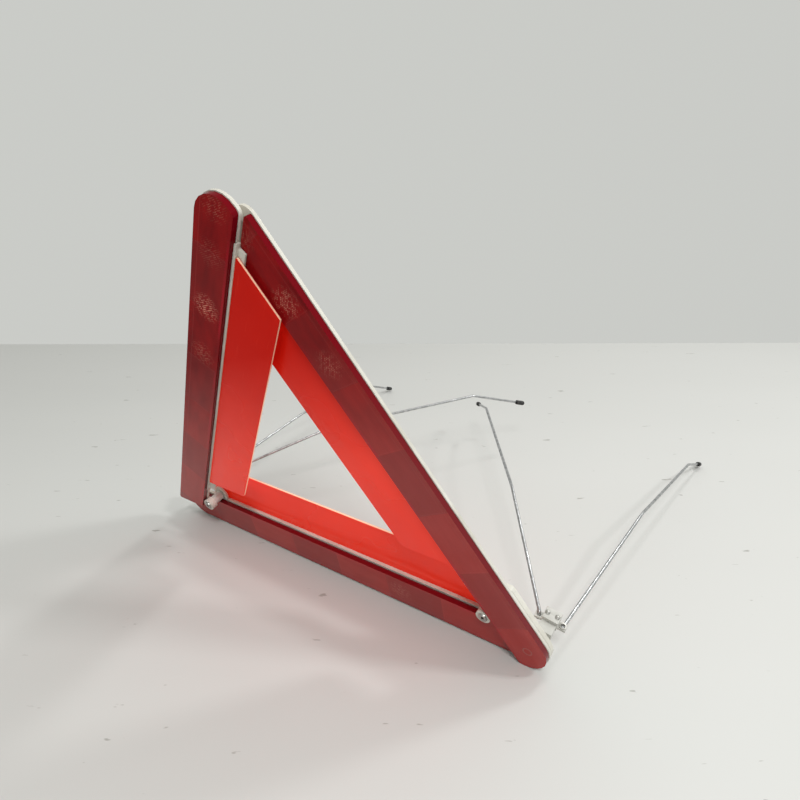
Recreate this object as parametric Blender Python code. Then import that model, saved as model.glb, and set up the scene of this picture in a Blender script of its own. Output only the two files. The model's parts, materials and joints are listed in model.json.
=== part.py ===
"""Folding warning triangle on four wire legs.

The triangle is drawn in its own plate frame: X along the base, Y from the
front face to the rear, Z up the plate. One empty leans the whole plate
forward and stands it on the ground. All sizes are in metres.
"""
import math

import bmesh
import bpy
from mathutils import Matrix, Vector

MM = 0.001
DEG = math.radians(1)

# ---------------------------------------------------------------- driving sizes
SIDE = 500 * MM              # side of the sharp triangle of the reflector edges
BAND = 35.5 * MM             # width of a reflector
ARM = 86 * MM                # full width of an arm, reflector and panel
LEAN = 15 * DEG              # forward lean of the plate
PROUD = 0.8 * MM             # carriers stand this far outside the reflectors
CORNER = 21 * MM             # radius of the triangle's corners
BAND_GAP = 1.5 * MM          # gap where one reflector ends beside the next
CLEAR = 0.3 * MM             # gap between parts that touch

LENS = 5.4 * MM              # depth of a reflector
LENS_SKIN = 2.0 * MM
CARRIER = 3.0 * MM           # depth of a carrier
LEFT_FRONT = -9.0 * MM       # front face of each arm's reflector
RIGHT_FRONT = 0.0
BASE_FRONT = 6.6 * MM
PANEL = 2.5 * MM             # thickness of a fluorescent panel
PANEL_DROP = 3.8 * MM        # side panel's front behind the reflector's front
BASE_PANEL_DROP = 10.5 * MM  # base panel's front behind the base reflector's front
LEDGE = 38 * MM              # carriers show a pale ledge out to this line
SHELF = 44.5 * MM            # the panels rest on a shelf out to this line

PIVOT_IN = ARM / 2           # pivots lie midway across two arms
BOSS_R = 7 * MM
RIVET_R = 2.6 * MM
BORE_R = RIVET_R + CLEAR

WIRE_R = 1.75 * MM
BLOCK_TILT = 12 * DEG        # outer end of a leg block sits lower
BLOCK_CENTRE = Vector((225.2 * MM, 32.5 * MM, 30.6 * MM))
BLOCK_HALF = Vector((7.3 * MM, 6.0 * MM, 0))  # half its length and depth
HOOK_OUT = 11.0 * MM         # wire hooks stand this far from the block's middle
HOOK_LEVEL = 3.5 * MM        # inner wire above and outer wire below the middle
CAP_R = 3.2 * MM
CAP_LENGTH = 14 * MM

SIN60 = math.sin(60 * DEG)
TAN60 = math.tan(60 * DEG)
HEIGHT = SIDE * SIN60
PIVOT_X = SIDE / 2 - PIVOT_IN * TAN60
LEFT_PIVOT = Vector((-PIVOT_X, 0, PIVOT_IN))
RIGHT_PIVOT = Vector((PIVOT_X, 0, PIVOT_IN))


# ---------------------------------------------------------------- materials
def material(name, colour, roughness, metallic=0.0):
    made = bpy.data.materials.new(name)
    made.use_nodes = True
    shader = made.node_tree.nodes["Principled BSDF"]
    shader.inputs["Base Color"].default_value = (*colour, 1.0)
    shader.inputs["Roughness"].default_value = roughness
    shader.inputs["Metallic"].default_value = metallic
    return made


# ---------------------------------------------------------------- scene helpers
def empty(name, parent=None, place=(0, 0, 0)):
    made = bpy.data.objects.new(name, None)
    bpy.context.scene.collection.objects.link(made)
    made.parent = parent
    made.location = place
    return made


def solid(name, mesh, parent, finish, place=(0, 0, 0)):
    """Link a mesh as one sub-part; its mesh is drawn about place."""
    made = bpy.data.objects.new(name, mesh)
    bpy.context.scene.collection.objects.link(made)
    made.parent = parent
    made.location = place
    if finish is not None:
        mesh.materials.append(finish)
    return made


def mesh_from(bm, name, smooth=False):
    bmesh.ops.recalc_face_normals(bm, faces=bm.faces)
    mesh = bpy.data.meshes.new(name)
    bm.to_mesh(mesh)
    bm.free()
    if smooth:
        mesh.shade_smooth()
        mesh.set_sharp_from_angle(angle=35 * DEG)
    return mesh


def bevel(piece, width, segments=2):
    made = piece.modifiers.new("Edges", "BEVEL")
    made.width = width
    made.segments = segments
    made.limit_method = "ANGLE"
    made.angle_limit = 40 * DEG


def combine(piece, tool, operation):
    """Cut a piece with a tool, or add the tool to it."""
    tool.hide_render = True
    tool.display_type = "WIRE"
    made = piece.modifiers.new(operation.title(), "BOOLEAN")
    made.operation = operation
    made.object = tool


# ---------------------------------------------------------------- outlines
def rounded(corners, steps=7):
    """A closed outline; each corner is (x, z, radius)."""
    outline = []
    count = len(corners)
    for n, (x, z, radius) in enumerate(corners):
        here = Vector((x, z))
        before = (Vector(corners[n - 1][:2]) - here).normalized()
        after = (Vector(corners[(n + 1) % count][:2]) - here).normalized()
        if radius <= 0:
            outline.append(here)
            continue
        half = before.angle(after) / 2
        centre = here + (before + after).normalized() * (radius / math.sin(half))
        start = here + before * (radius / math.tan(half)) - centre
        end = here + after * (radius / math.tan(half)) - centre
        turn = start.angle_signed(end)
        for k in range(steps + 1):
            outline.append(centre + Matrix.Rotation(-turn * k / steps, 2) @ start)
    return outline


def prism(outline, front, rear):
    """A bmesh of an X-Z outline carried from front to rear along Y."""
    bm = bmesh.new()
    ring = [bm.verts.new((p.x, front, p.y)) for p in outline]
    face = bm.faces.new(ring)
    grown = bmesh.ops.extrude_face_region(bm, geom=[face])
    moved = [v for v in grown["geom"] if isinstance(v, bmesh.types.BMVert)]
    bmesh.ops.translate(bm, verts=moved, vec=(0, rear - front, 0))
    bmesh.ops.recalc_face_normals(bm, faces=bm.faces)
    return bm


def add_prism(bm, outline, front, rear):
    """Put one more closed prism into a bmesh of cutters."""
    part = prism(outline, front, rear)
    mesh = bpy.data.meshes.new("part")
    part.to_mesh(mesh)
    part.free()
    bm.from_mesh(mesh)
    bpy.data.meshes.remove(mesh)


def disc(centre_x, centre_z, radius, sides=32):
    turns = [2 * math.pi * k / sides for k in range(sides)]
    return [Vector((centre_x + radius * math.cos(a), centre_z + radius * math.sin(a))) for a in turns]


# An arm is drawn as if it were the base: s runs along the outer edge from the
# arm's rounded end, t runs inwards from that edge. The three arms are this
# drawing turned by 0, 120 and 240 degrees about the triangle's centre.
CENTRE = Vector((0, HEIGHT / 3))
TURN = {"base": 0.0, "right": 120 * DEG, "left": 240 * DEG}


def on_arm(arm, s, t):
    flat = Vector((s - SIDE / 2, t)) - CENTRE
    return Matrix.Rotation(TURN[arm], 2) @ flat + CENTRE


def placed(arm, corners):
    """Corners given as (s, t, radius) become (x, z, radius)."""
    return [(*on_arm(arm, s, t), radius) for s, t, radius in corners]


def near_next(t, inset):
    """Where a line at height t meets the next side's line at this inset, at the rounded end."""
    return t / TAN60 + inset / SIN60


def near_last(t, inset):
    """The same at the other end, beside the side whose reflector runs past."""
    return SIDE - t / TAN60 - inset / SIN60


def band_corners(outer, inner, end_inset, next_inset):
    """A reflector's outline from its rounded end to its slanted cut end."""
    return [
        (near_next(outer, next_inset), outer, CORNER - outer),
        (near_last(outer, end_inset), outer, 2 * MM),
        (near_last(inner, end_inset), inner, 1 * MM),
        (near_next(inner, next_inset), inner, 5 * MM),
    ]


# ---------------------------------------------------------------- reflectors and panels
def reflector(arm, front, parent, finish):
    """A shallow tray of red acrylic, open at the rear where it meets its carrier."""
    corners = band_corners(0, BAND, BAND + BAND_GAP, 0)
    bm = prism(rounded(placed(arm, corners)), front, front + LENS)
    rear = max(bm.faces, key=lambda f: f.calc_center_median().y)
    bmesh.ops.inset_region(bm, faces=[rear], thickness=LENS_SKIN, use_even_offset=True)
    pocket = bmesh.ops.extrude_face_region(bm, geom=[rear])
    floor = [v for v in pocket["geom"] if isinstance(v, bmesh.types.BMVert)]
    bmesh.ops.delete(bm, geom=[rear], context="FACES")
    bmesh.ops.translate(bm, verts=floor, vec=(0, LENS_SKIN - LENS, 0))
    piece = solid(arm + "_reflector", mesh_from(bm, arm + "_reflector"), parent, finish)
    bevel(piece, 0.7 * MM)
    piece.modifiers.new("Triangles", "TRIANGULATE")
    return piece


def side_panel(arm, corners, front, parent, finish):
    bm = prism(rounded(corners, steps=4), front, front + PANEL)
    piece = solid(arm + "_panel", mesh_from(bm, arm + "_panel"), parent, finish)
    bevel(piece, 0.4 * MM, segments=1)
    return piece


def crossing(line_a, line_b):
    """Where two inset lines meet; each line is (arm, inset) or (None, height)."""
    def form(line):
        arm, inset = line
        a, b = on_arm(arm, 0, inset), on_arm(arm, SIDE, inset)
        normal = Vector((a.y - b.y, b.x - a.x))
        return normal, normal.dot(a)
    (n1, c1), (n2, c2) = form(line_a), form(line_b)
    det = n1.x * n2.y - n1.y * n2.x
    return Vector(((c1 * n2.y - c2 * n1.y) / det, (n1.x * c2 - n2.x * c1) / det))


def polygon(lines, radii):
    """A closed outline through the crossings of neighbouring lines."""
    count = len(lines)
    points = [crossing(lines[n], lines[(n + 1) % count]) for n in range(count)]
    return [(p.x, p.y, r) for p, r in zip(points, radii)]


PANEL_EDGE = LEDGE + CLEAR       # outer edge of a side panel, against the ledge
LEFT_PANEL_FOOT = 83 * MM        # the left panel ends this high above the base
RIGHT_PANEL_FOOT = 93.5 * MM
LEFT_PANEL_HEAD = 30 * MM        # the left panel runs in front of the right arm to this line
PANELS_LAP = 6 * MM              # the right panel runs this far behind the left one near the apex


# ---------------------------------------------------------------- carriers
POCKETS = 8
POCKET_WALL = 1.6 * MM
POCKET_DEPTH = 1.7 * MM
RIB = 2.4 * MM
LEFT_LUG = 1.6 * MM          # thickness of the base's ear at each pivot
RIGHT_LUG = 3.4 * MM


def rear_pockets(arm, rear, first, last, inner=BAND - POCKET_WALL):
    """Cutters that hollow a carrier from behind, leaving cross ribs."""
    bm = bmesh.new()
    step = (last - first) / POCKETS
    for n in range(POCKETS):
        s0, s1 = first + n * step + RIB / 2, first + (n + 1) * step - RIB / 2
        corners = [(s0, POCKET_WALL, 0), (s1, POCKET_WALL, 0), (s1, inner, 0), (s0, inner, 0)]
        outline = rounded(placed(arm, corners))
        add_prism(bm, outline, rear - POCKET_DEPTH, rear + 1 * MM)
    return solid(arm + "_pocket_cutter", mesh_from(bm, arm + "_pocket_cutter"), None, None)


def add_tool(name, outline, front, rear, parent):
    return solid(name, mesh_from(prism(outline, front, rear), name), parent, None)


def side_carrier(arm, front, parent, finish, pivot, end_inset, shelf_from, shelf_to, ledge_from):
    """The pale moulding behind a side arm's reflector, with its panel shelf and pivot boss."""
    face, rear = front + LENS + CLEAR, front + LENS + CLEAR + CARRIER
    edge = BAND + 0.6 * MM
    corners = [
        (near_next(-PROUD, -PROUD), -PROUD, CORNER + PROUD),
        (near_last(-PROUD, end_inset), -PROUD, 12 * MM),
        (near_last(edge, end_inset), edge, 3 * MM),
        (near_next(edge, -PROUD), edge, 5 * MM),
    ]
    bm = prism(rounded(placed(arm, corners)), face, rear)
    piece = solid(arm + "_carrier", mesh_from(bm, arm + "_carrier"), parent, finish)

    shelf = placed(arm, [(shelf_from, 30 * MM, 0), (shelf_to, 30 * MM, 0),
                         (shelf_to - 4 * MM, SHELF, 0), (shelf_from + 4 * MM, SHELF, 0)])
    shelf_face = front + PANEL_DROP + PANEL + CLEAR
    tool = add_tool(arm + "_shelf_shape", rounded(shelf), shelf_face, rear - 0.2 * MM, parent)
    combine(piece, tool, "UNION")

    ledge = placed(arm, [(ledge_from, 35.8 * MM, 0), (shelf_to + 1 * MM, 35.8 * MM, 0),
                         (shelf_to + 1 * MM, LEDGE, 0), (ledge_from, LEDGE, 0)])
    ledge_tool = add_tool(arm + "_ledge_shape", rounded(ledge), front + 3.6 * MM, rear - 0.4 * MM, parent)
    combine(piece, ledge_tool, "UNION")

    boss = add_tool(arm + "_boss_shape", disc(pivot.x, pivot.z, BOSS_R), front + 1.2 * MM,
                    rear - 0.6 * MM, parent)
    combine(piece, boss, "UNION")
    pockets = rear_pockets(arm, rear, 62 * MM, near_last(BAND, end_inset) - 8 * MM)
    pockets.parent = parent
    combine(piece, pockets, "DIFFERENCE")
    bore = add_tool(arm + "_bore_cutter", disc(pivot.x, pivot.z, BORE_R, 20), front - 2 * MM,
                    rear + 2 * MM, parent)
    combine(piece, bore, "DIFFERENCE")
    return piece


def base_carrier(parent, finish):
    """Strip behind the base reflector, with a corner plate that runs up behind the right arm."""
    face = BASE_FRONT + LENS + CLEAR
    rear = face + CARRIER
    plate_face = RIGHT_FRONT + LENS + CLEAR + CARRIER + CLEAR
    corners = [
        (near_next(-PROUD, -PROUD), -PROUD, CORNER + PROUD),
        (near_last(-PROUD, 36 * MM), -PROUD, 0),
        (near_last(12 * MM, 20 * MM), 12 * MM, 0),
        (near_last(LEDGE, 20 * MM), LEDGE, 0),
        (near_next(LEDGE, -PROUD), LEDGE, 5 * MM),
    ]
    bm = prism(rounded(placed("base", corners)), face, rear)
    piece = solid("base_carrier", mesh_from(bm, "base_carrier"), parent, finish)

    below = -PROUD - 0.1 * MM
    plate_lines = [("base", below), ("right", -PROUD), ("base", ARM), ("right", BAND + BAND_GAP - CLEAR)]
    plate = rounded(polygon(plate_lines, [CORNER + PROUD, 3 * MM, 3 * MM, 0]))
    combine(piece, add_tool("corner_plate_shape", plate, plate_face, plate_face + 4.7 * MM, parent), "UNION")
    foot_pad = disc(FOOT_X, FOOT_Z, FOOT_R + 0.5 * MM, 36)
    combine(piece, add_tool("foot_pad_shape", foot_pad, plate_face + 1 * MM, BASE_REAR, parent), "UNION")
    pads = placed("base", [(60 * MM, 29 * MM, 0), (430 * MM, 29 * MM, 0), (430 * MM, 36 * MM, 0),
                           (60 * MM, 36 * MM, 0)])
    combine(piece, add_tool("panel_pad_shape", rounded(pads), rear - 1 * MM, PAD_FACE, parent), "UNION")
    for side, pivot, lug_face, depth, lug_r in (("left", LEFT_PIVOT, face, LEFT_LUG, 10 * MM),
                                                ("right", RIGHT_PIVOT, plate_face, RIGHT_LUG, 7.2 * MM)):
        lug = disc(pivot.x, pivot.z, lug_r)
        combine(piece, add_tool(side + "_lug_shape", lug, lug_face + 0.2 * MM, lug_face + depth + 0.6 * MM,
                                parent), "UNION")
        sink = disc(pivot.x, pivot.z, 5.8 * MM, 24)
        combine(piece, add_tool(side + "_sink_cutter", sink, lug_face + depth, rear + 2 * MM, parent),
                "DIFFERENCE")
        bore = disc(pivot.x, pivot.z, BORE_R, 20)
        combine(piece, add_tool(side + "_base_bore_cutter", bore, lug_face - 3 * MM, rear + 3 * MM, parent),
                "DIFFERENCE")
    pockets = rear_pockets("base", rear, 62 * MM, 425 * MM, inner=27 * MM)
    pockets.parent = parent
    combine(piece, pockets, "DIFFERENCE")
    return piece


BASE_REAR = BASE_FRONT + LENS + CLEAR + CARRIER
BASE_PANEL_FACE = BASE_FRONT + BASE_PANEL_DROP
PAD_FACE = BASE_PANEL_FACE - CLEAR
CLAMP_FACE = BASE_PANEL_FACE + PANEL + CLEAR
CLAMP = 1.5 * MM
FOOT_X, FOOT_Z = 214 * MM, 27 * MM   # middle of the right leg bracket's round foot
FOOT_R = 12 * MM


# ---------------------------------------------------------------- turned parts
def turned(name, profile, parent, finish, place, axis=Vector((0, 1, 0)), sides=24):
    """Turn a closed profile of (radius, distance along axis) points."""
    bm = bmesh.new()
    across = axis.orthogonal().normalized()
    upward = axis.cross(across)
    rings = []
    for radius, along in profile:
        if radius == 0:
            rings.append([bm.verts.new(axis * along)])
            continue
        ring = []
        for k in range(sides):
            angle = 2 * math.pi * k / sides
            ring.append(bm.verts.new(axis * along + (across * math.cos(angle)
                                                      + upward * math.sin(angle)) * radius))
        rings.append(ring)
    pairs = list(zip(rings, rings[1:]))
    if profile[0][0] > 0:
        pairs.append((rings[-1], rings[0]))
    for one, two in pairs:
        for k in range(sides):
            corners = [one[k % len(one)], one[(k + 1) % len(one)], two[(k + 1) % len(two)], two[k % len(two)]]
            corners = list(dict.fromkeys(corners))
            if len(corners) > 2:
                bm.faces.new(corners)
    return solid(name, mesh_from(bm, name, smooth=True), parent, finish, place)


def hollow_rivet(name, pivot, front, rear, parent, finish):
    """A tubular rivet with a flange at both ends; front and rear are the flanges' outer faces."""
    hole, flange, rim = 1.5 * MM, 4.6 * MM, 0.8 * MM
    profile = [(hole, front), (flange - 0.3 * MM, front), (flange, front + rim), (RIVET_R, front + rim),
               (RIVET_R, rear - rim), (flange, rear - rim), (flange - 0.3 * MM, rear), (hole, rear)]
    turned(name, profile, parent, finish, (pivot.x, 0, pivot.z))


def ring_part(name, pivot, inner, outer, front, rear, parent, finish):
    profile = [(inner, front), (outer, front), (outer, rear), (inner, rear)]
    turned(name, profile, parent, finish, (pivot.x, 0, pivot.z))


def headed_pin(name, place, axis, head_r, head, shank_r, shank, parent, finish, sides=16):
    """A domed head on top of its place, and a shank running back along the axis."""
    profile = [(0, head), (head_r * 0.6, head * 0.85), (head_r, head * 0.35), (head_r, 0), (shank_r, 0),
               (shank_r, -shank), (0, -shank)]
    turned(name, profile, parent, finish, place, axis, sides)


# ---------------------------------------------------------------- wires
def local_up():
    """World up, seen in the leaning plate's frame."""
    return Matrix.Rotation(-LEAN, 3, "X") @ Vector((0, 0, 1))


UP = local_up()
REAR = Matrix.Rotation(-LEAN, 3, "X") @ Vector((0, 1, 0))
SIDEWAYS = Vector((1, 0, 0))


def block_axes(side):
    """Along, rearward and upward axes of a leg block; side is +1 right, -1 left."""
    along = Vector((side * math.cos(BLOCK_TILT), 0, -math.sin(BLOCK_TILT)))
    upward = Vector((side * math.sin(BLOCK_TILT), 0, math.cos(BLOCK_TILT)))
    return along, Vector((0, 1, 0)), upward


def block_centre(side):
    return Vector((side * BLOCK_CENTRE.x, BLOCK_CENTRE.y, BLOCK_CENTRE.z))


def hinge_point(side, outer):
    along, _, upward = block_axes(side)
    reach, level = (HOOK_OUT, -HOOK_LEVEL) if outer else (-HOOK_OUT, HOOK_LEVEL)
    return block_centre(side) + along * reach + upward * level


def leg_corners(start, heading, elevation, lengths, bends):
    """Corner points of a leg that leaves upwards and is bent down twice."""
    level = REAR * math.cos(heading) + SIDEWAYS * math.sin(heading)
    points = [start]
    for length, bend in zip(lengths, (0.0, *bends)):
        elevation -= bend
        points.append(points[-1] + (level * math.cos(elevation) + UP * math.sin(elevation)) * length)
    return points


def elevation_to_ground(start_height, end_height, lengths, bends):
    """The first stretch's rise that brings the leg's end down to a height."""
    total, rise, run = 0.0, 0.0, 0.0
    for length, bend in zip(lengths, (0.0, *bends)):
        total -= bend
        rise += length * math.sin(total)
        run += length * math.cos(total)
    reach = math.hypot(rise, run)
    return math.asin((end_height - start_height) / reach) - math.atan2(rise, run)


def smooth_route(corners, radii, steps=6):
    """Straight stretches joined by arcs of the given radii at the inner corners."""
    route = [corners[0]]
    for n in range(1, len(corners) - 1):
        here = corners[n]
        before = (corners[n - 1] - here).normalized()
        after = (corners[n + 1] - here).normalized()
        half = before.angle(after) / 2
        cut = radii[n - 1] / math.tan(half)
        centre = here + (before + after).normalized() * (radii[n - 1] / math.sin(half))
        start = here + before * cut - centre
        end = here + after * cut - centre
        for k in range(steps + 1):
            route.append(centre + start.slerp(end, k / steps).normalized() * radii[n - 1])
    route.append(corners[-1])
    return route


def wire(name, route, origin, parent, finish):
    curve = bpy.data.curves.new(name, "CURVE")
    curve.dimensions = "3D"
    curve.bevel_depth = WIRE_R
    curve.bevel_resolution = 3
    curve.use_fill_caps = True
    spline = curve.splines.new("POLY")
    spline.points.add(len(route) - 1)
    for point, place in zip(spline.points, route):
        point.co = (*(place - origin), 1)
    curve.materials.append(finish)
    made = bpy.data.objects.new(name, curve)
    bpy.context.scene.collection.objects.link(made)
    made.parent = parent
    return made


def foot_cap(name, tip, direction, origin, parent, finish):
    """A rubber cap pushed over the wire's end; direction points out of its closed end."""
    bore = WIRE_R + CLEAR
    profile = [(0, 0), (CAP_R * 0.6, -0.3 * MM), (CAP_R * 0.93, -1.4 * MM), (CAP_R, -3 * MM),
               (CAP_R, -CAP_LENGTH + 0.6 * MM), (CAP_R - 0.5 * MM, -CAP_LENGTH), (bore, -CAP_LENGTH),
               (bore, -CAP_END), (0, -CAP_END)]
    turned(name, profile, parent, finish, tip - origin, direction, 16)


CAP_END = 3 * MM             # solid rubber beyond the wire's end
HOOK = 5.2 * MM              # hooked end below or above the wire's centre line
OUTER_LENGTHS = (201 * MM, 188 * MM, 79 * MM)
OUTER_BENDS = (10.6 * DEG, 16.8 * DEG)
INNER_LENGTHS = (160 * MM, 211 * MM, 90 * MM)
INNER_BENDS = (12.2 * DEG, 19.5 * DEG)
OUTER_HEADING = 4.2 * DEG
INNER_HEADING = {"right": -34.6 * DEG, "left": 33.0 * DEG}
INNER_RISE = {"right": 13.4 * DEG, "left": 15.3 * DEG}
CAPS_REST = 0.4 * MM         # outer caps stand level with the right arm's rounded foot


def leg(name, side, outer, parent, steel, rubber):
    word = "right" if side > 0 else "left"
    hinge = hinge_point(side, outer)
    _, _, upward = block_axes(side)
    pin = empty(name + "_axis", parent, hinge)
    if outer:
        lengths, bends, heading = OUTER_LENGTHS, OUTER_BENDS, side * OUTER_HEADING
        drop = sum(bends)
        rest = CAPS_REST + CAP_R
        elevation = elevation_to_ground(hinge.dot(UP), rest, lengths, bends)
        elevation += (1 - math.cos(drop - elevation)) * CAP_R / sum(lengths)
        hook_end = hinge + upward * HOOK
    else:
        lengths, bends, heading = INNER_LENGTHS, INNER_BENDS, INNER_HEADING[word]
        elevation = INNER_RISE[word]
        hook_end = hinge - upward * HOOK
    corners = leg_corners(hinge, heading, elevation, lengths, bends)
    toe = (corners[-1] - corners[-2]).normalized()
    tip = corners[-1]
    corners[-1] = tip - toe * (CAP_END + CLEAR)
    route = smooth_route([hook_end] + corners, (2.4 * MM, 14 * MM, 12 * MM))
    wire(name + "_wire", route, hinge, pin, steel)
    foot_cap(name + "_foot_cap", tip, toe, hinge, pin, rubber)


# ---------------------------------------------------------------- leg mountings
def box_between(low, high, axes, centre, chamfer=0.0):
    """A closed box given in block axes about a centre."""
    bm = bmesh.new()
    bmesh.ops.create_cube(bm, size=1.0)
    size, middle = high - low, (high + low) / 2
    for v in bm.verts:
        p = Vector((v.co.x * size.x, v.co.y * size.y, v.co.z * size.z)) + middle
        v.co = centre + axes[0] * p.x + axes[1] * p.y + axes[2] * p.z
    if axes[0].cross(axes[1]).dot(axes[2]) < 0:
        bmesh.ops.reverse_faces(bm, faces=bm.faces)
    if chamfer:
        bmesh.ops.bevel(bm, geom=bm.edges[:], offset=chamfer, segments=2, affect="EDGES", profile=0.5)
    return bm


def pin_hole(name, centre, axis, radius, start, end, parent, sides=16):
    """A round cutter along an axis, from start to end."""
    profile = [(0, start), (radius, start), (radius, end), (0, end)]
    return turned(name, profile, parent, None, centre, axis, sides)


def leg_mounting(side, root, block_finish, steel):
    """Bracket, block, lid, bolt, screws and rivets at one end of the base."""
    word = "right" if side > 0 else "left"
    along, rearward, upward = axes = block_axes(side)
    centre = block_centre(side)
    block_front = -BLOCK_HALF.y

    bottom, top = -1.45 * MM, 7.0 * MM
    bm = box_between(Vector((-BLOCK_HALF.x, block_front, bottom)), Vector((BLOCK_HALF.x, BLOCK_HALF.y, top)),
                     axes, centre, 0.6 * MM)
    block = solid(word + "_leg_block", mesh_from(bm, word + "_leg_block"), root, block_finish)
    for end, ear_low in ((1, bottom), (-1, bottom - 0.1 * MM)):
        near, far = sorted((end * (BLOCK_HALF.x - 1 * MM), end * (HOOK_OUT + 3.6 * MM)))
        ear = box_between(Vector((near, -3.6 * MM, ear_low + 0.1 * MM)),
                          Vector((far, 3.6 * MM, ear_low + 2.9 * MM)), axes, centre, 0.5 * MM)
        name = word + ("_outer" if end > 0 else "_inner")
        combine(block, solid(name + "_ear_shape", mesh_from(ear, name + "_ear"), root, None), "UNION")
        hole_at = centre + along * (end * HOOK_OUT)
        combine(block, pin_hole(name + "_hook_cutter", hole_at, upward, WIRE_R + CLEAR, -8 * MM, 6 * MM, root),
                "DIFFERENCE")
        nut_at = hinge_point(side, end > 0)
        nut_from = 5.35 * MM if end > 0 else -6.15 * MM
        profile = [(WIRE_R + CLEAR, nut_from), (3.4 * MM, nut_from + 0.2 * MM), (3.4 * MM, nut_from + 0.6 * MM),
                   (WIRE_R + CLEAR, nut_from + 0.8 * MM)]
        turned(name + "_push_nut", profile, root, steel, nut_at, upward, 20)

    bolt_at = centre + upward * 2.8 * MM
    combine(block, pin_hole(word + "_bolt_cutter", bolt_at, rearward, 1.8 * MM, -10 * MM, 10 * MM, root),
            "DIFFERENCE")
    headed_pin(word + "_block_bolt", bolt_at + rearward * (BLOCK_HALF.y + CLEAR), rearward, 3.4 * MM, 2.2 * MM,
               1.5 * MM, 2 * BLOCK_HALF.y + 5 * MM, root, steel)

    lid_low = top + CLEAR
    bm = box_between(Vector((-BLOCK_HALF.x, block_front, lid_low)),
                     Vector((BLOCK_HALF.x, BLOCK_HALF.y, lid_low + 2.7 * MM)), axes, centre, 0.6 * MM)
    lid = solid(word + "_block_lid", mesh_from(bm, word + "_block_lid"), root, block_finish)
    for n, end in enumerate((-1, 1)):
        screw_at = centre + along * (end * 4.6 * MM) + upward * (lid_low + 2.7 * MM + CLEAR)
        name = word + "_lid_screw_" + str(n + 1)
        headed_pin(name, screw_at, upward, 2.2 * MM, 1.2 * MM, 1.0 * MM, 6.4 * MM, root, steel, 14)
        for target, tag in ((block, "_block_cutter"), (lid, "_lid_cutter")):
            combine(target, pin_hole(name + tag, screw_at, upward, 1.3 * MM, -6.8 * MM, 1 * MM, root, 12),
                    "DIFFERENCE")

    foot_face, foot = BASE_REAR + CLEAR, 2.5 * MM
    bm = prism(disc(side * FOOT_X, FOOT_Z, FOOT_R, 36), foot_face, foot_face + foot)
    bracket = solid(word + "_leg_bracket", mesh_from(bm, word + "_leg_bracket"), root, block_finish)
    post = box_between(Vector((-7 * MM, foot_face - centre.y + 0.1 * MM, -1.0 * MM)),
                       Vector((6.5 * MM, block_front - CLEAR, 6.6 * MM)), axes, centre, 0.5 * MM)
    combine(bracket, solid(word + "_post_shape", mesh_from(post, word + "_post"), root, None), "UNION")
    combine(bracket, pin_hole(word + "_post_cutter", bolt_at, rearward, 1.8 * MM, -11.5 * MM, 0, root),
            "DIFFERENCE")
    for n, z in enumerate((20.5 * MM, 33.5 * MM)):
        rivet_at = Vector((side * 207.5 * MM, foot_face + foot + CLEAR, z))
        name = word + "_bracket_rivet_" + str(n + 1)
        headed_pin(name, rivet_at, rearward, 2.6 * MM, 1.1 * MM, 1.2 * MM, 4.6 * MM, root, steel, 14)
        cutters = [(bracket, "_foot_cutter"), (bpy.data.objects["base_carrier"], "_carrier_cutter")]
        for target, tag in cutters:
            combine(target, pin_hole(name + tag, rivet_at, rearward, 1.5 * MM, -5.0 * MM, 1 * MM, root, 12),
                    "DIFFERENCE")


# ---------------------------------------------------------------- latch at the apex
def latch(parent, carrier, steel):
    """A leaf spring on the right arm's finger that bears on the left arm's back."""
    centre_t = 17 * MM
    s0 = near_last(centre_t, 30 * MM)
    s1 = near_last(centre_t, 11 * MM)
    finger = RIGHT_FRONT + LENS + CLEAR
    low, high, gauge, half = finger - CLEAR, 0.5 * MM, 0.5 * MM, 4 * MM
    span = s1 - s0
    line = [(0.0, low), (0.36, low)]
    line += [(0.36 + 0.5 * k / 6, low + (high - low) * math.sin(math.pi / 2 * k / 6)) for k in range(1, 7)]
    line += [(1.0, high + 1.6 * MM)]
    bm = bmesh.new()
    rows = []
    for share, y in line:
        for t in (centre_t - half, centre_t + half):
            flat = on_arm("right", s0 + share * span, t)
            rows.append(bm.verts.new((flat.x, y, flat.y)))
    for n in range(0, len(rows) - 2, 2):
        bm.faces.new((rows[n], rows[n + 1], rows[n + 3], rows[n + 2]))
    bmesh.ops.recalc_face_normals(bm, faces=bm.faces)
    if sum(f.normal.y for f in bm.faces) > 0:
        bmesh.ops.reverse_faces(bm, faces=bm.faces)
    thick = bmesh.ops.extrude_face_region(bm, geom=bm.faces[:])
    top = [v for v in thick["geom"] if isinstance(v, bmesh.types.BMVert)]
    bmesh.ops.translate(bm, verts=top, vec=(0, -gauge, 0))
    spring = solid("latch_spring", mesh_from(bm, "latch_spring"), parent, steel)
    at = on_arm("right", s0 + 0.18 * span, centre_t)
    rivet_at = Vector((at.x, low - gauge - CLEAR, at.y))
    front = Vector((0, -1, 0))
    headed_pin("latch_rivet", rivet_at, front, 2.0 * MM, 0.9 * MM, 0.9 * MM, 2.6 * MM, parent, steel, 14)
    for target, tag in ((spring, "latch_spring_cutter"), (carrier, "latch_carrier_cutter")):
        combine(target, pin_hole(tag, rivet_at, front, 1.2 * MM, -3.0 * MM, 0.5 * MM, parent, 12), "DIFFERENCE")


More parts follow.
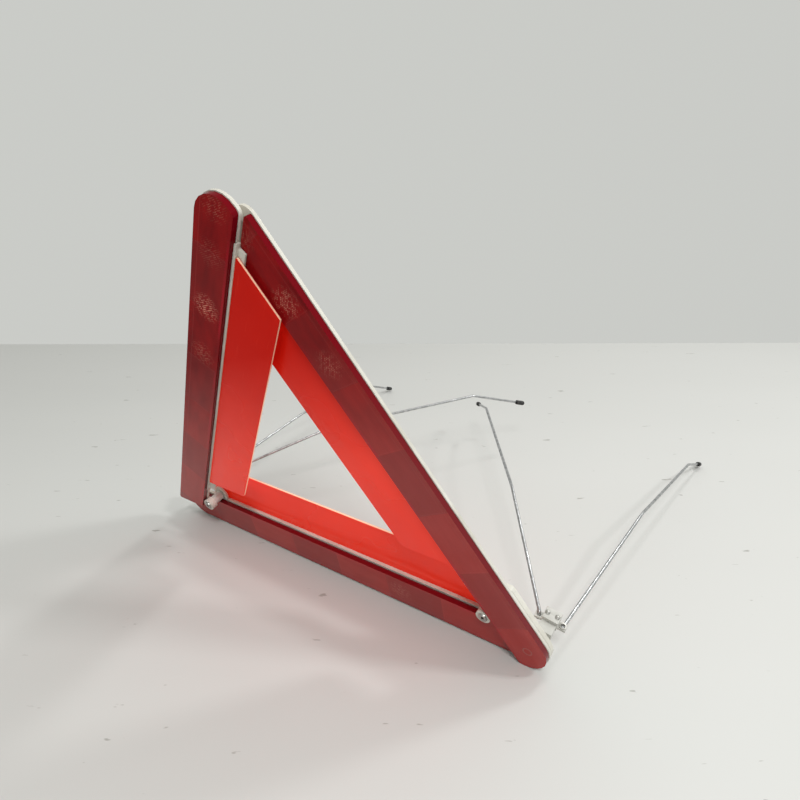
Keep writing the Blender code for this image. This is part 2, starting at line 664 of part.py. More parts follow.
# ---------------------------------------------------------------- assembly
def build():
    reflex = material("red reflex acrylic", (0.36, 0.012, 0.014), 0.12)
    fluorescent = material("fluorescent orange acrylic", (0.85, 0.06, 0.03), 0.25)
    cream = material("cream plastic", (0.78, 0.76, 0.70), 0.5)
    grey = material("grey plastic", (0.70, 0.70, 0.67), 0.5)
    steel = material("galvanised steel", (0.55, 0.56, 0.57), 0.35, 1.0)
    black = material("black rubber", (0.02, 0.02, 0.02), 0.6)

    root = empty("stance")
    left_arm = empty("left_arm_axis", root, LEFT_PIVOT)
    right_arm = empty("right_arm_axis", root, RIGHT_PIVOT)
    left_frame = empty("left_arm_frame", left_arm, -LEFT_PIVOT)
    right_frame = empty("right_arm_frame", right_arm, -RIGHT_PIVOT)

    reflector("base", BASE_FRONT, root, reflex)
    reflector("left", LEFT_FRONT, left_frame, reflex)
    reflector("right", RIGHT_FRONT, right_frame, reflex)

    base_carrier(root, cream)
    side_carrier("left", LEFT_FRONT, left_frame, cream, LEFT_PIVOT, BAND + 1.0 * MM, 48 * MM, 400 * MM, 46 * MM)
    right_carrier = side_carrier("right", RIGHT_FRONT, right_frame, cream, RIGHT_PIVOT, 22 * MM,
                                 86 * MM, 372 * MM, 78 * MM)

    left_lines = [("right", LEFT_PANEL_HEAD), ("left", PANEL_EDGE), ("base", LEFT_PANEL_FOOT), ("left", ARM)]
    side_panel("left", polygon(left_lines, [1 * MM, 1 * MM, 6 * MM, 1 * MM]), LEFT_FRONT + PANEL_DROP,
               left_frame, fluorescent)
    right_lines = [("base", RIGHT_PANEL_FOOT), ("right", PANEL_EDGE), ("left", ARM - PANELS_LAP),
                   ("right", ARM)]
    side_panel("right", polygon(right_lines, [1 * MM, 1 * MM, 1 * MM, 6 * MM]), RIGHT_FRONT + PANEL_DROP,
               right_frame, fluorescent)
    base_lines = [("base", 29 * MM), ("right", 30 * MM), ("base", ARM), ("left", 30 * MM)]
    base_panel = side_panel("base", polygon(base_lines, [1 * MM] * 4), BASE_PANEL_FACE, root, fluorescent)

    strip_lines = [("base", 30 * MM), ("right", 42 * MM), ("base", 35.5 * MM), ("left", 42 * MM)]
    strip_outline = rounded(polygon(strip_lines, [0] * 4))
    strip = solid("base_clamp_strip", mesh_from(prism(strip_outline, CLAMP_FACE, CLAMP_FACE + CLAMP),
                                                "base_clamp_strip"), root, steel)
    rearward = Vector((0, 1, 0))
    for n in range(4):
        at = Vector((-150 * MM + n * 98 * MM, CLAMP_FACE + CLAMP + CLEAR, 32.7 * MM))
        name = "clamp_rivet_" + str(n + 1)
        headed_pin(name, at, rearward, 2.4 * MM, 1.0 * MM, 1.2 * MM, 5.6 * MM, root, steel, 14)
        targets = [(strip, "_strip_cutter"), (base_panel, "_panel_cutter"),
                   (bpy.data.objects["base_carrier"], "_pad_cutter")]
        for target, tag in targets:
            combine(target, pin_hole(name + tag, at, rearward, 1.5 * MM, -6.2 * MM, 1 * MM, root, 12),
                    "DIFFERENCE")

    left_stack = BASE_FRONT + LENS + CLEAR + LEFT_LUG
    right_stack = RIGHT_FRONT + LENS + CARRIER + 2 * CLEAR + RIGHT_LUG
    hollow_rivet("left_pivot_rivet", LEFT_PIVOT, LEFT_FRONT + 0.1 * MM, left_stack + 2.2 * MM, root, steel)
    hollow_rivet("right_pivot_rivet", RIGHT_PIVOT, RIGHT_FRONT + 0.1 * MM, right_stack + 2.2 * MM, root, steel)
    ring_part("left_pivot_bush", LEFT_PIVOT, BORE_R, 5.2 * MM, 0.0, BASE_FRONT + LENS, root, grey)
    ring_part("left_pivot_washer", LEFT_PIVOT, BORE_R, 5.2 * MM, left_stack + CLEAR, left_stack + 1.1 * MM,
              root, steel)
    ring_part("right_pivot_washer", RIGHT_PIVOT, BORE_R, 5.2 * MM, right_stack + CLEAR, right_stack + 1.1 * MM,
              root, steel)

    latch(right_frame, right_carrier, steel)
    leg_mounting(1, root, grey, steel)
    leg_mounting(-1, root, grey, steel)
    for side, word in ((1, "right"), (-1, "left")):
        leg(word + "_inner", side, False, root, steel, black)
        leg(word + "_outer", side, True, root, steel, black)

    root.rotation_euler = (LEAN, 0, 0)
    stand_on_ground(root)


def stand_on_ground(root):
    """Move the whole part so that its box stands centred on the origin."""
    bpy.context.view_layer.update()
    view = bpy.context.evaluated_depsgraph_get()
    low, high = Vector((9, 9, 9)), Vector((-9, -9, -9))
    for piece in bpy.data.objects:
        if piece.type == "EMPTY" or piece.hide_render:
            continue
        seen = piece.evaluated_get(view)
        mesh = seen.to_mesh()
        for v in mesh.vertices:
            place = seen.matrix_world @ v.co
            low = Vector(map(min, low, place))
            high = Vector(map(max, high, place))
        seen.to_mesh_clear()
    root.location = (-(low.x + high.x) / 2, -(low.y + high.y) / 2, -low.z)
    bpy.context.view_layer.update()


for old in list(bpy.data.objects):
    bpy.data.objects.remove(old, do_unlink=True)
build()
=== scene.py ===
"""Looks of the folding warning triangle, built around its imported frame."""
import json
import math

import bpy
from mathutils import Matrix, Vector

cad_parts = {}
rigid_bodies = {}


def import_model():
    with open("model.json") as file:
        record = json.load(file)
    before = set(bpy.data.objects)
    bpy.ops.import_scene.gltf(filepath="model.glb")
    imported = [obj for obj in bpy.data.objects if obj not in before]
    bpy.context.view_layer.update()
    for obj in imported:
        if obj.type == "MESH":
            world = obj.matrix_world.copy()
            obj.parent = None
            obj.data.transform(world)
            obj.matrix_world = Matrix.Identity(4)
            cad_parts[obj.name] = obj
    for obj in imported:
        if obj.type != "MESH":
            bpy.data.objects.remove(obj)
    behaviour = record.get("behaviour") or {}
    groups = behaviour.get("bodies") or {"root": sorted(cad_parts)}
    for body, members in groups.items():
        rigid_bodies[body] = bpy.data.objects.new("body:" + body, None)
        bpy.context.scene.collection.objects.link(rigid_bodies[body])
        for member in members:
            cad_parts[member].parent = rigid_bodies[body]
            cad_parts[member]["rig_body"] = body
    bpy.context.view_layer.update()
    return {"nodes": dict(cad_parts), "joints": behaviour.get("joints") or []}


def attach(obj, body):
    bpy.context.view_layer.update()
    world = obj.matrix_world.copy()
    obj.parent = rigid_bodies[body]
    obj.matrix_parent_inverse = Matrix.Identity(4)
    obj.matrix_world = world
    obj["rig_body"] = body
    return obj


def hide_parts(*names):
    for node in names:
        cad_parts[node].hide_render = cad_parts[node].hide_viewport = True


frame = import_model()

MM = 0.001
NODES = frame["nodes"]
SIDE = 500 * MM                  # sharp triangle of the reflectors' outer edges
HEIGHT = SIDE * math.sqrt(3) / 2
LEAN = math.radians(15)          # the plate leans forward
BAND = 35.5 * MM                 # width of a reflector
PIVOT_IN = 43 * MM               # the arms' pivots lie this far inside the outer edges
TURN = {"base": 0.0, "right": math.radians(120), "left": math.radians(240)}


# ---------------------------------------------------------------- places
def plate_to_world():
    """The leaning plate's own frame; the right arm's pivot gives its place."""
    pivot = next(j for j in frame["joints"] if j["name"] == "right_arm_fold")
    lean = Matrix.Rotation(LEAN, 4, "X")
    pivot_on_plate = Vector((SIDE / 2 - PIVOT_IN * math.sqrt(3), 0, PIVOT_IN))
    return Matrix.Translation(Vector(pivot["pos_m"]) - lean @ pivot_on_plate) @ lean


PLATE = plate_to_world()


def arm_frame(arm):
    """An arm's drawing frame: X along its outer edge from the rounded end, Z inwards."""
    centre = Vector((0, 0, HEIGHT / 3))
    turn = Matrix.Rotation(-TURN[arm], 4, "Y")
    start = Vector((-SIDE / 2, 0, 0)) - centre
    return PLATE @ Matrix.Translation(centre) @ turn @ Matrix.Translation(start)


# ---------------------------------------------------------------- node helpers
class Nodes:
    """Writes the nodes of one tree in few words."""

    def __init__(self, tree):
        self.tree = tree

    def node(self, kind, **settings):
        made = self.tree.nodes.new("ShaderNode" + kind)
        for key, value in settings.items():
            setattr(made, key, value)
        return made

    def link(self, source, target):
        self.tree.links.new(source, target)

    def feed(self, socket, value):
        if isinstance(value, bpy.types.NodeSocket):
            self.link(value, socket)
        else:
            socket.default_value = value

    def place(self, matrix=None):
        """Object coordinates, seen from a frame given by its matrix."""
        source = self.node("TexCoord").outputs["Object"]
        if matrix is None:
            return source
        location, rotation, _ = matrix.inverted().decompose()
        mapping = self.node("Mapping")
        mapping.inputs["Location"].default_value = location
        mapping.inputs["Rotation"].default_value = rotation.to_euler()
        self.link(source, mapping.inputs["Vector"])
        return mapping.outputs["Vector"]

    def scaled(self, vector, scale):
        made = self.node("Mapping")
        made.inputs["Scale"].default_value = scale
        self.link(vector, made.inputs["Vector"])
        return made.outputs["Vector"]

    def math(self, operation, a, b=0.0, c=0.0):
        made = self.node("Math", operation=operation)
        for socket, value in zip(made.inputs, (a, b, c)):
            self.feed(socket, value)
        return made.outputs["Value"]

    def noise(self, vector, scale, detail=3.0, roughness=0.55):
        made = self.node("TexNoise")
        made.inputs["Scale"].default_value = scale
        made.inputs["Detail"].default_value = detail
        made.inputs["Roughness"].default_value = roughness
        self.link(vector, made.inputs["Vector"])
        return made.outputs["Fac"]

    def ramp(self, value, stops):
        made = self.node("ValToRGB")
        elements = made.color_ramp.elements
        while len(elements) < len(stops):
            elements.new(1.0)
        for element, (position, colour) in zip(elements, stops):
            element.position = position
            element.color = colour if len(colour) == 4 else (*colour, 1.0)
        self.link(value, made.inputs["Fac"])
        return made.outputs["Color"]

    def span(self, value, low, high, to_low=0.0, to_high=1.0):
        made = self.node("MapRange")
        self.link(value, made.inputs["Value"])
        for name, number in (("From Min", low), ("From Max", high), ("To Min", to_low), ("To Max", to_high)):
            made.inputs[name].default_value = number
        return made.outputs["Result"]

    def mix(self, factor, a, b):
        made = self.node("Mix", data_type="RGBA")
        self.feed(made.inputs["Factor"], factor)
        for socket, value in ((made.inputs["A"], a), (made.inputs["B"], b)):
            self.feed(socket, (*value, 1.0) if isinstance(value, tuple) else value)
        return made.outputs["Result"]

    def split(self, vector):
        made = self.node("SeparateXYZ")
        self.link(vector, made.inputs["Vector"])
        return made.outputs["X"], made.outputs["Y"], made.outputs["Z"]

    def between(self, value, low, high):
        """1 where low < value < high, else 0."""
        above = self.math("GREATER_THAN", value, low)
        below = self.math("LESS_THAN", value, high)
        return self.math("MULTIPLY", above, below)

    def near(self, value, middle, half):
        """1 within half of the middle, else 0."""
        away = self.math("ABSOLUTE", self.math("SUBTRACT", value, middle))
        return self.math("LESS_THAN", away, half)

    def distance(self, x, y, middle):
        """How far (x, y) is from a place."""
        squares = []
        for value, centre in zip((x, y), middle):
            away = self.math("SUBTRACT", value, centre)
            squares.append(self.math("MULTIPLY", away, away))
        return self.math("SQRT", self.math("ADD", *squares))

    def stripes(self, value, pitch, share):
        """Bands that take this share of each pitch."""
        return self.math("LESS_THAN", self.math("FRACT", self.math("DIVIDE", value, pitch)), share)

    def both(self, *values):
        result = values[0]
        for value in values[1:]:
            result = self.math("MULTIPLY", result, value)
        return result

    def either(self, *values):
        result = values[0]
        for value in values[1:]:
            result = self.math("MAXIMUM", result, value)
        return result

    def dots(self, x, y, pitch, size):
        """A square grid of round dots."""
        offsets = []
        for value in (x, y):
            cell = self.math("FRACT", self.math("DIVIDE", value, pitch))
            offsets.append(self.math("SUBTRACT", cell, 0.5))
        squares = [self.math("MULTIPLY", o, o) for o in offsets]
        return self.math("LESS_THAN", self.math("ADD", *squares), size * size)


class Shader(Nodes):
    """A new material and its nodes."""

    def __init__(self, name):
        self.material = bpy.data.materials.new(name)
        self.material.use_nodes = True
        super().__init__(self.material.node_tree)
        self.principled = self.tree.nodes["Principled BSDF"]

    def set(self, **sockets):
        for name, value in sockets.items():
            self.feed(self.principled.inputs[name.replace("_", " ")], value)

    def bump(self, height, strength, distance):
        made = self.node("Bump")
        made.inputs["Strength"].default_value = strength
        made.inputs["Distance"].default_value = distance
        self.link(height, made.inputs["Height"])
        self.link(made.outputs["Normal"], self.principled.inputs["Normal"])


# ---------------------------------------------------------------- materials
FIELD = 63 * MM                  # a reflector is moulded in fields of this length
PRISM = 2.2 * MM                 # pitch of the diagonal rows of prisms, measured along the arm
PRISM_MARGIN = 2.5 * MM          # plain acrylic outside the prisms
BEAD = 1.5 * MM                  # pitch of the beads on the border between two fields
RUN_LINE = 5.2 * MM              # a fine line runs this far inside the outer edge
TOOTH = 1.4 * MM                 # half the pitch of the sawtooth row along the inner edge
TEETH = 3.4 * MM                 # depth of that row
PATCH_LINE = 18 * MM             # the bright patches lie along this line
PATCH_R = 15 * MM
PATCH_CORE = 5 * MM
GLINTS = {                       # painted highlights, bright patches of prisms: place along the arm in mm, strength
    "left": [(24, 0.22), (66, 0.18), (122, 1.0), (178, 0.35)],
    "right": [(448, 0.25), (392, 0.6), (336, 0.35)],
    "base": [(330, 0.3)],
}
WORN_RING = (36 * MM, 17 * MM)   # middle of the worn ring on the right reflector
WORN_RING_R = 4 * MM
ACRYLIC_IOR = 1.49


def reflex_lens(arm):
    """Clear red acrylic over moulded prisms, in fields with dotted borders."""
    shader = Shader(arm + "_reflex_lens")
    here = shader.place(arm_frame(arm))
    s, _, t = shader.split(here)
    floor_reflection = floor_reflection_mask(shader)
    field = shader.math("DIVIDE", s, FIELD)
    within = shader.math("MULTIPLY", shader.math("FRACT", field), FIELD)
    odd = shader.math("GREATER_THAN", shader.math("FRACT", shader.math("MULTIPLY", field, 0.5)), 0.5)

    mottle = shader.noise(shader.scaled(here, (9.0, 9.0, 30.0)), 3.0, 3.0)
    deep = shader.ramp(mottle, [(0.3, (0.19, 0.0035, 0.0055)), (0.7, (0.34, 0.007, 0.008))])
    reflected_floor_red = shader.ramp(mottle, [(0.3, (0.39, 0.026, 0.022)), (0.7, (0.46, 0.038, 0.032))])
    # Paler lower down: painted reflection of the bright floor.
    face = shader.mix(floor_reflection, deep, reflected_floor_red)
    face = shader.mix(shader.math("MULTIPLY", odd, 0.4), face, (0.22, 0.022, 0.022))

    face = prism_pattern(shader, face, arm, here)
    face = field_borders(shader, face, within, t)
    face = sawtooth_row(shader, face, here)
    # Darker walls and cut edges across the plate: painted shade.
    face = shader.mix(turned_away(shader, 0.75, 0.35), face, (0.17, 0.0025, 0.007))
    if arm == "right":
        face = shader.mix(ring_mark(shader, s, t), face, (0.40, 0.17, 0.15))

    scratches = shader.noise(shader.scaled(here, (40.0, 300.0, 900.0)), 1.0, 4.0, 0.6)
    wear = shader.noise(shader.scaled(here, (25.0, 25.0, 40.0)), 1.0, 4.0)
    fine = shader.span(scratches, 0.55, 0.8, 0.06, 0.2)
    shader.set(Base_Color=face, Roughness=shader.math("ADD", fine, shader.span(wear, 0.3, 0.8, 0.0, 0.1)),
               IOR=ACRYLIC_IOR, Specular_IOR_Level=shader.span(floor_reflection, 0.0, 1.0, 0.05, 0.34))
    waves = shader.noise(shader.scaled(here, (60.0, 60.0, 60.0)), 1.0, 2.0)
    shader.bump(waves, 0.05, 0.4 * MM)
    return shader.material


def floor_reflection_mask(shader):
    """1 where a face looks into the bright floor nearby, fading to 0 further up; it places a painted
    reflection of the floor.
    """
    x, _, z = shader.split(shader.place())
    slanted = shader.math("SUBTRACT", z, shader.math("MULTIPLY", x, 0.3))
    return shader.span(slanted, 0.27, 0.15)


def prism_pattern(shader, face, arm, here):
    """Rows of prisms, with patches of painted highlight where lines and single prisms shine."""
    s, _, t = shader.split(here)
    inside = shader.between(t, PRISM_MARGIN, BAND - PRISM_MARGIN)
    diagonal = shader.math("ADD", s, t)
    prisms = shader.dots(diagonal, shader.math("SUBTRACT", s, t), PRISM, 0.3)
    face = shader.mix(shader.both(prisms, inside, 0.10), face, (0.46, 0.03, 0.03))
    glint = glints(shader, arm, s, t)
    lines = shader.stripes(diagonal, PRISM, 0.4)
    face = shader.mix(shader.both(lines, glint, 0.35), face, (0.62, 0.05, 0.045))
    spark = shader.noise(shader.scaled(here, (330.0, 330.0, 330.0)), 1.0, 0.0)
    star = shader.both(prisms, glint, shader.span(spark, 0.42, 0.6))
    return shader.mix(star, face, (1.0, 0.45, 0.32))


def glints(shader, arm, s, t):
    """How strongly each place of a reflector shows a painted highlight of light thrown back."""
    patches = []
    for place, strength in GLINTS[arm]:
        away = shader.distance(s, t, (place * MM, PATCH_LINE))
        patches.append(shader.span(away, PATCH_R, PATCH_CORE, 0.0, strength))
    return shader.either(*patches)


def field_borders(shader, face, within, t):
    """Beaded borders between the fields, and a fine line along the outer edge."""
    inside = shader.between(t, PRISM_MARGIN, BAND - PRISM_MARGIN)
    border = shader.both(shader.near(within, 1 * MM, 0.36 * MM), shader.stripes(t, BEAD, 0.5), inside, 0.22)
    line = shader.math("MULTIPLY", shader.near(t, RUN_LINE, 0.2 * MM), 0.2)
    return shader.mix(shader.either(border, line), face, (0.60, 0.12, 0.11))


def sawtooth_row(shader, face, here):
    """A row of bright teeth along the inner edge, stronger in some stretches."""
    s, _, t = shader.split(here)
    depth = shader.math("SUBTRACT", t, BAND - TEETH)
    teeth = shader.math("GREATER_THAN", depth, shader.math("PINGPONG", s, TOOTH))
    row = shader.between(t, BAND - TEETH + 0.1 * MM, BAND - 0.7 * MM)
    stretches = shader.noise(shader.scaled(here, (14.0, 1.0, 1.0)), 1.0, 1.0)
    lit = shader.span(stretches, 0.45, 0.6, 0.15, 1.0)
    return shader.mix(shader.both(teeth, row, lit, 0.6), face, (0.55, 0.012, 0.03))


def ring_mark(shader, s, t):
    """A worn ring in the moulding's rounded end."""
    ring = shader.near(shader.distance(s, t, WORN_RING), WORN_RING_R, 0.55 * MM)
    return shader.math("MULTIPLY", ring, 0.5)


def fluorescent_panel(arm):
    """Orange-red sheet that gathers light and lets it out, pale, at its cut edges; that edge glow is
    painted, as colour and emission, and the lower part is brighter with a painted reflection of the floor.
    """
    shader = Shader(arm + "_fluorescent_panel")
    here = shader.place(arm_frame(arm))
    edge = turned_away(shader, 0.55, 0.2)
    floor_reflection = floor_reflection_mask(shader)
    cloud = shader.noise(shader.scaled(here, (7.0, 7.0, 7.0)), 1.0, 3.0)
    high = shader.ramp(cloud, [(0.3, (0.56, 0.008, 0.003)), (0.7, (0.64, 0.012, 0.005))])
    low = shader.ramp(cloud, [(0.3, (0.86, 0.026, 0.010)), (0.7, (0.95, 0.038, 0.016))])
    marks = shader.noise(shader.scaled(here, (30.0, 30.0, 500.0)), 1.0, 3.0)
    scuffs = shader.span(marks, 0.62, 0.8, 0.0, 0.2)
    # Brighter low down: painted reflection of the floor.
    body = shader.mix(scuffs, shader.mix(floor_reflection, high, low), (0.90, 0.09, 0.05))
    # Pale cut edges and the emission below: painted glow, stronger low down where the painted floor
    # reflection lies.
    colour = shader.mix(edge, body, (0.85, 0.52, 0.36))
    glow = shader.math("MULTIPLY", shader.span(edge, 0.0, 1.0, 1.0, 1.6),
                       shader.span(floor_reflection, 0.0, 1.0, 0.12, 0.22))
    shader.set(Base_Color=colour, Roughness=shader.span(cloud, 0.3, 0.7, 0.16, 0.30), IOR=ACRYLIC_IOR,
               Specular_IOR_Level=shader.span(floor_reflection, 0.0, 1.0, 0.05, 0.36),
               Emission_Color=colour, Emission_Strength=glow)
    waves = shader.noise(shader.scaled(here, (26.0, 26.0, 26.0)), 1.0, 1.0)
    shader.bump(waves, 0.06, 0.8 * MM)
    return shader.material


def turned_away(shader, starts, ends):
    """0 on faces along the plate, rising to 1 on the walls and cut edges across it."""
    facing = shader.math("ABSOLUTE", shader.split(turned_normal(shader))[1])
    return shader.span(facing, starts, ends)


def turned_normal(shader):
    """The surface's own normal in the leaning plate's axes."""
    source = shader.node("TexCoord").outputs["Normal"]
    mapping = shader.node("Mapping", vector_type="NORMAL")
    mapping.inputs["Rotation"].default_value = (-LEAN, 0, 0)
    shader.link(source, mapping.inputs["Vector"])
    return mapping.outputs["Vector"]


def moulded_plastic(name, light, dark, speckle=0.4):
    """Slightly dirty moulded plastic with a fine spark-eroded skin."""
    shader = Shader(name)
    here = shader.place()
    dirt = shader.noise(shader.scaled(here, (22.0, 22.0, 22.0)), 1.0, 5.0, 0.62)
    colour = shader.ramp(dirt, [(0.32, dark), (0.62, light)])
    grime = shader.noise(shader.scaled(here, (160.0, 160.0, 160.0)), 1.0, 4.0, 0.7)
    soiled = tuple(channel * 0.45 for channel in dark)
    colour = shader.mix(shader.span(grime, 0.62, 0.78, 0.0, speckle), colour, soiled)
    grain = shader.noise(shader.scaled(here, (2400.0, 2400.0, 2400.0)), 1.0, 2.0)
    shader.set(Base_Color=colour, Roughness=shader.span(dirt, 0.3, 0.7, 0.36, 0.52), IOR=1.46)
    shader.bump(grain, 0.12, 0.06 * MM)
    return shader.material


def zinc_wire():
    """Galvanised drawn wire: bright, with dull spangle, drawing lines and a little rust."""
    shader = Shader("zinc_wire")
    here = shader.place()
    spangle = shader.noise(shader.scaled(here, (210.0, 210.0, 210.0)), 1.0, 3.0)
    colour = shader.ramp(spangle, [(0.3, (0.33, 0.335, 0.34)), (0.7, (0.62, 0.625, 0.63))])
    rust = shader.noise(shader.scaled(here, (38.0, 38.0, 38.0)), 1.0, 5.0, 0.7)
    colour = shader.mix(shader.span(rust, 0.66, 0.8, 0.0, 0.6), colour, (0.16, 0.085, 0.045))
    shader.set(Base_Color=colour, Metallic=1.0, Roughness=shader.span(spangle, 0.3, 0.7, 0.42, 0.26))
    shader.bump(spangle, 0.15, 0.05 * MM)
    return shader.material


def plated_steel():
    shader = Shader("plated_steel")
    here = shader.place()
    stain = shader.noise(shader.scaled(here, (120.0, 120.0, 120.0)), 1.0, 4.0)
    colour = shader.ramp(stain, [(0.3, (0.40, 0.39, 0.36)), (0.7, (0.60, 0.59, 0.56))])
    shader.set(Base_Color=colour, Metallic=1.0, Roughness=shader.span(stain, 0.3, 0.7, 0.45, 0.28))
    shader.bump(stain, 0.1, 0.05 * MM)
    return shader.material


def black_rubber():
    shader = Shader("black_rubber")
    here = shader.place()
    dust = shader.noise(shader.scaled(here, (300.0, 300.0, 300.0)), 1.0, 4.0)
    colour = shader.ramp(dust, [(0.35, (0.012, 0.012, 0.013)), (0.75, (0.05, 0.048, 0.045))])
    shader.set(Base_Color=colour, Roughness=shader.span(dust, 0.3, 0.7, 0.45, 0.7))
    shader.bump(dust, 0.2, 0.1 * MM)
    return shader.material


CREAM = moulded_plastic("cream_plastic", (0.74, 0.72, 0.65), (0.60, 0.575, 0.50))
GREY = moulded_plastic("grey_plastic", (0.66, 0.655, 0.62), (0.50, 0.49, 0.45), 0.6)
WIRE = zinc_wire()
STEEL = plated_steel()
RUBBER = black_rubber()


def finish_of(node):
    """The material and the record's slot of a CAD node."""
    arm = node.split("_")[0]
    if node.endswith("_reflector"):
        return LENSES[arm], "reflex_lens"
    if node.endswith("_panel"):
        return PANELS[arm], "fluorescent_panel"
    if node.endswith("_carrier"):
        return CREAM, "carrier_plastic"
    if node.endswith("_wire"):
        return WIRE, "leg_wire"
    if node.endswith("_foot_cap"):
        return RUBBER, "cap_rubber"
    if node.endswith(("_leg_block", "_block_lid", "_leg_bracket", "_bush")):
        return GREY, "block_plastic"
    return STEEL, "fixing_steel"


LENSES = {arm: reflex_lens(arm) for arm in TURN}
PANELS = {arm: fluorescent_panel(arm) for arm in TURN}


# ---------------------------------------------------------------- pieces
MERGE = 0.002 * MM               # corners closer than this are one
FLAT = math.radians(0.5)         # triangles this near to level belong to one face
MOULDING_EDGE = 0.35 * MM        # radius of a carrier's corners
SHEET_EDGE = 0.25 * MM
BLOCK_EDGE = 0.3 * MM


def only(piece):
    """Make a piece the only one selected, and active."""
    bpy.ops.object.select_all(action="DESELECT")
    piece.select_set(True)
    bpy.context.view_layer.objects.active = piece


def apply(piece, kind, name, **settings):
    only(piece)
    modifier = piece.modifiers.new(name, kind)
    for key, value in settings.items():
        setattr(modifier, key, value)
    bpy.ops.object.modifier_apply(modifier=modifier.name)


def reworked_copy(node, name, rework, **settings):
    """A piece made from a CAD node's shape: loose triangles joined, then one edit-mode operator."""
    piece = bpy.data.objects.new(name, NODES[node].data.copy())
    bpy.context.scene.collection.objects.link(piece)
    only(piece)
    bpy.ops.object.mode_set(mode="EDIT")
    bpy.ops.mesh.select_all(action="SELECT")
    bpy.ops.mesh.remove_doubles(threshold=MERGE)
    bpy.ops.mesh.select_all(action="SELECT")
    rework(**settings)
    bpy.ops.object.mode_set(mode="OBJECT")
    return piece


def with_flat_faces(node, name):
    """The triangles of each flat face made one again."""
    return reworked_copy(node, name, bpy.ops.mesh.dissolve_limited, angle_limit=FLAT)


def stand_for(piece, node):
    """Let a finished piece take a CAD node's place, body and finish."""
    material, slot = finish_of(node)
    piece.data.materials.clear()
    piece.data.materials.append(material)
    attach(piece, NODES[node]["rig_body"])
    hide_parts(node)
    return piece


def moulded(node, name, width):
    """A moulding with every corner softly rounded."""
    piece = with_flat_faces(node, name)
    apply(piece, "BEVEL", "Corners", width=width, segments=3, limit_method="ANGLE",
          angle_limit=math.radians(38), use_clamp_overlap=True)
    bpy.ops.object.shade_smooth_by_angle(angle=math.radians(30))
    return stand_for(piece, node)


def smooth(node, name):
    """A piece whose rounded corners are already in its shape."""
    piece = with_flat_faces(node, name)
    bpy.ops.object.shade_smooth_by_angle(angle=math.radians(35))
    return stand_for(piece, node)


def drawn_wire(node, name):
    """A round wire: the frame's tube with its facets smoothed away."""
    piece = reworked_copy(node, name, bpy.ops.mesh.tris_convert_to_quads)
    apply(piece, "SUBSURF", "Round", levels=1, render_levels=1)
    bpy.ops.object.shade_smooth()
    return stand_for(piece, node)


def finish_cad_nodes():
    """Give every CAD node that still shows its own material."""
    for name, node in NODES.items():
        material, _ = finish_of(name)
        if node.data.materials:
            for place in node.material_slots:
                place.material = material
        else:
            node.data.materials.append(material)


finish_cad_nodes()
for arm in TURN:
    moulded(arm + "_carrier", arm + "_carrier_moulding", MOULDING_EDGE)
    moulded(arm + "_panel", arm + "_panel_sheet", SHEET_EDGE)
    smooth(arm + "_reflector", arm + "_reflex_tray")
for side in ("left", "right"):
    moulded(side + "_leg_block", side + "_block_moulding", BLOCK_EDGE)
    moulded(side + "_block_lid", side + "_lid_moulding", BLOCK_EDGE)
    moulded(side + "_leg_bracket", side + "_bracket_moulding", BLOCK_EDGE)
    for place in ("inner", "outer"):
        drawn_wire(f"{side}_{place}_wire", f"{side}_{place}_leg_wire")


# ---------------------------------------------------------------- camera and studio
EYE = Vector((0.3618, -0.5964, 0.4248))
FLOOR_TURN = math.radians(34.2)      # the floor is square to the camera's heading
FLOOR_SIZE = (8.0, 2.4)
FLOOR_REACH = 0.2                    # its middle lies this far ahead of the camera
LAMPS = [                            # name, place, width and power
    ("front", (0.9, -1.3, 1.9), 0.5, 21),
    ("right", (1.6, 0.5, 1.7), 0.3, 13),
    ("rear", (0.5, 1.5, 2.0), 0.35, 12),
]
DIM = 0.12                           # the room's dark side, as a share of its bright side


def camera():
    data = bpy.data.cameras.new("camera")
    data.lens = 28.115
    data.sensor_width = 36
    made = bpy.data.objects.new("camera", data)
    made.location = EYE
    made.rotation_euler = [math.radians(angle) for angle in (67.951, 0.119, 34.22)]
    bpy.context.scene.collection.objects.link(made)
    bpy.context.scene.camera = made


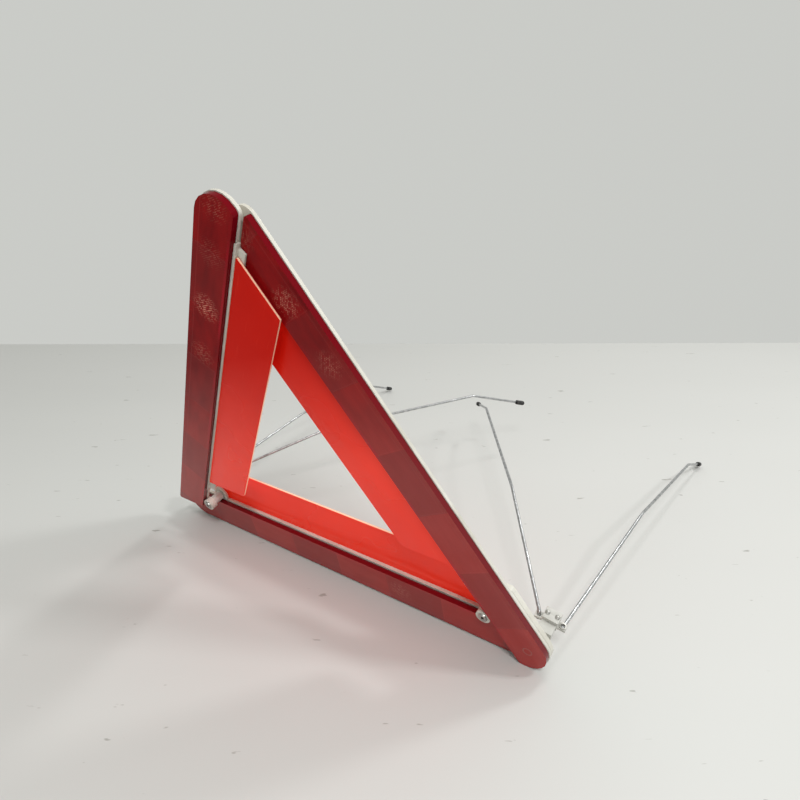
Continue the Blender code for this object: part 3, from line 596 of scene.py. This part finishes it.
def pale_floor():
    """Worn, faintly stained floor paint, with painted shade that darkens it towards the floor's far left
    corner.
    """
    shader = Shader("pale_floor")
    here = shader.place()
    stains = shader.noise(shader.scaled(here, (3.0, 3.0, 3.0)), 1.0, 4.0)
    colour = shader.ramp(stains, [(0.3, (0.62, 0.62, 0.60)), (0.7, (0.67, 0.67, 0.65))])
    specks = shader.noise(shader.scaled(here, (230.0, 230.0, 230.0)), 1.0, 3.0)
    colour = shader.mix(shader.span(specks, 0.70, 0.73, 0.0, 0.7), colour, (0.30, 0.29, 0.26))
    # Painted shade: the floor darkens towards its far left corner.
    toward_painted_shade = shader.split(shader.place(Matrix.Rotation(FLOOR_TURN, 4, "Z")))[1]
    colour = shader.mix(shader.span(toward_painted_shade, 0.2, 0.68, 0.0, 0.75), colour, (0.54, 0.54, 0.52))
    shader.set(Base_Color=colour, Roughness=0.5)
    shader.bump(stains, 0.2, 4 * MM)
    return shader.material


def lay_floor():
    """A floor that ends a little behind the object."""
    material = pale_floor()
    ahead = Vector((-math.sin(FLOOR_TURN), math.cos(FLOOR_TURN), 0))
    middle = Vector((EYE.x, EYE.y, 0)) + ahead * FLOOR_REACH
    bpy.ops.object.select_all(action="DESELECT")
    bpy.ops.mesh.primitive_plane_add(size=1, location=(middle.x, middle.y, -0.2 * MM),
                                     rotation=(0, 0, FLOOR_TURN))
    floor = bpy.context.object
    floor.name = "floor"
    floor.scale = (*FLOOR_SIZE, 1.0)
    floor.data.materials.append(material)


def light_room():
    """Light from all around, dim low down on the camera's side."""
    world = bpy.data.worlds.new("studio")
    world.use_nodes = True
    nodes = Nodes(world.node_tree)
    _, y, z = nodes.split(nodes.node("TexCoord").outputs["Generated"])
    behind = nodes.span(y, -0.25, 0.25, DIM, 1.0)
    above = nodes.span(z, 0.25, 0.7, DIM, 1.0)
    sky = world.node_tree.nodes["Background"]
    sky.inputs["Color"].default_value = (0.985, 1.0, 0.955, 1.0)
    nodes.feed(sky.inputs["Strength"], nodes.math("MULTIPLY", nodes.either(behind, above), 0.60))
    bpy.context.scene.world = world


def hang_lamps():
    for name, place, size, power in LAMPS:
        data = bpy.data.lights.new(name, "AREA")
        data.size = size
        data.energy = power
        lamp = bpy.data.objects.new(name, data)
        lamp.location = place
        lamp.rotation_euler = (-Vector(place)).to_track_quat("-Z", "Y").to_euler()
        bpy.context.scene.collection.objects.link(lamp)


camera()
lay_floor()
light_room()
hang_lamps()
bpy.context.scene.view_settings.view_transform = "Standard"
